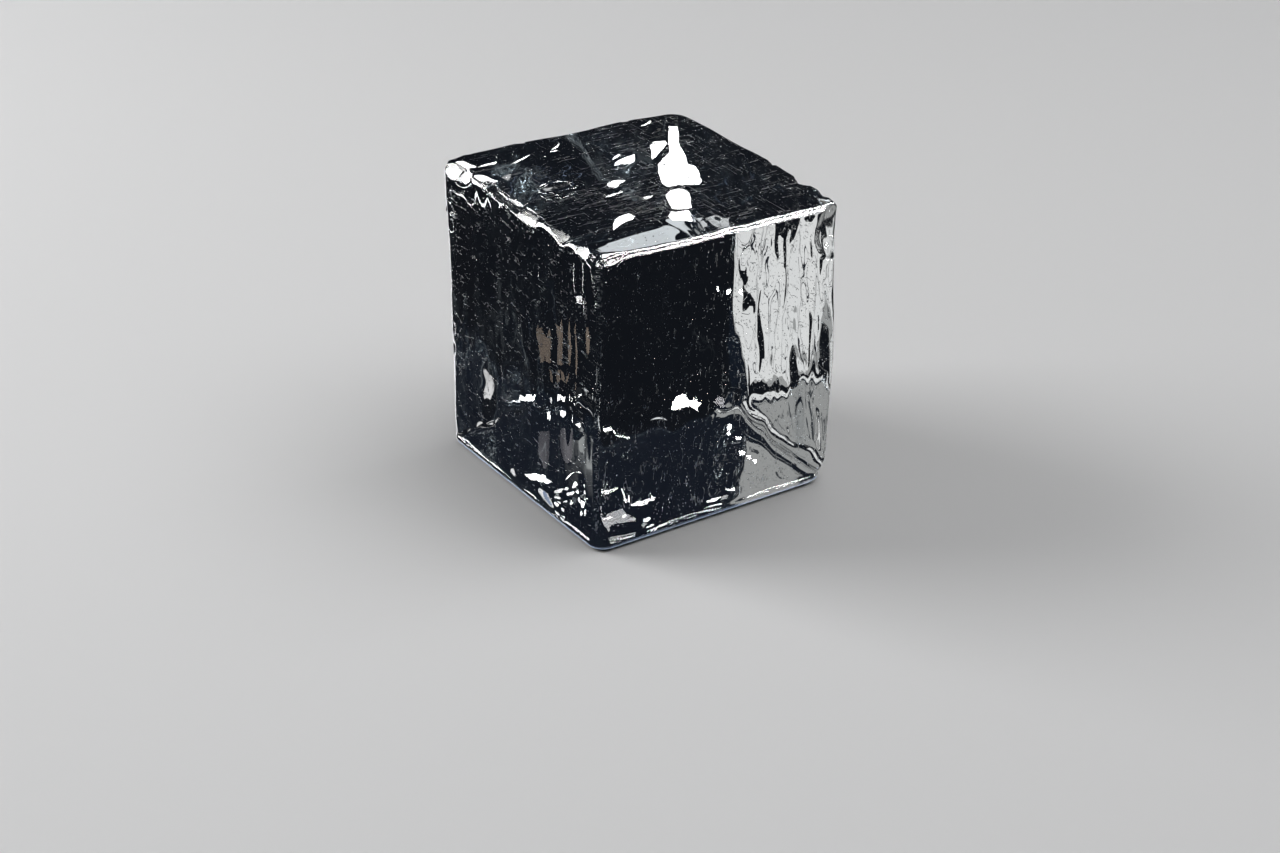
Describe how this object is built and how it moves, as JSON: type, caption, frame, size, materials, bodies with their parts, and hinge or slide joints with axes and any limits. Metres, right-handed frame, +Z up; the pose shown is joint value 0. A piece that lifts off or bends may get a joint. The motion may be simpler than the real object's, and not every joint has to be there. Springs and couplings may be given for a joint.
{
  "type": "clear ice block",
  "caption": "Hand-sawn, nearly cubic block of clear ice with chipped top edges, gently wavy walls and a foot rounded by melting.",
  "frame": {"origin": "middle of the flat base, at the centre of the block's box", "axes": "+Z up from the flat base; the -Y and -X walls are the two that show in the usual view, and the top faces +Z"},
  "size_m": [0.0468, 0.0486, 0.05],
  "materials": {
    "clear_ice": "clear colourless ice with a faint blue cast, wet and glossy, with fine saw scratches on the top and shell-shaped chips along the edges"
  },
  "bodies": {
    "root": {"ice_block": "clear_ice"}
  },
  "joints": []
}
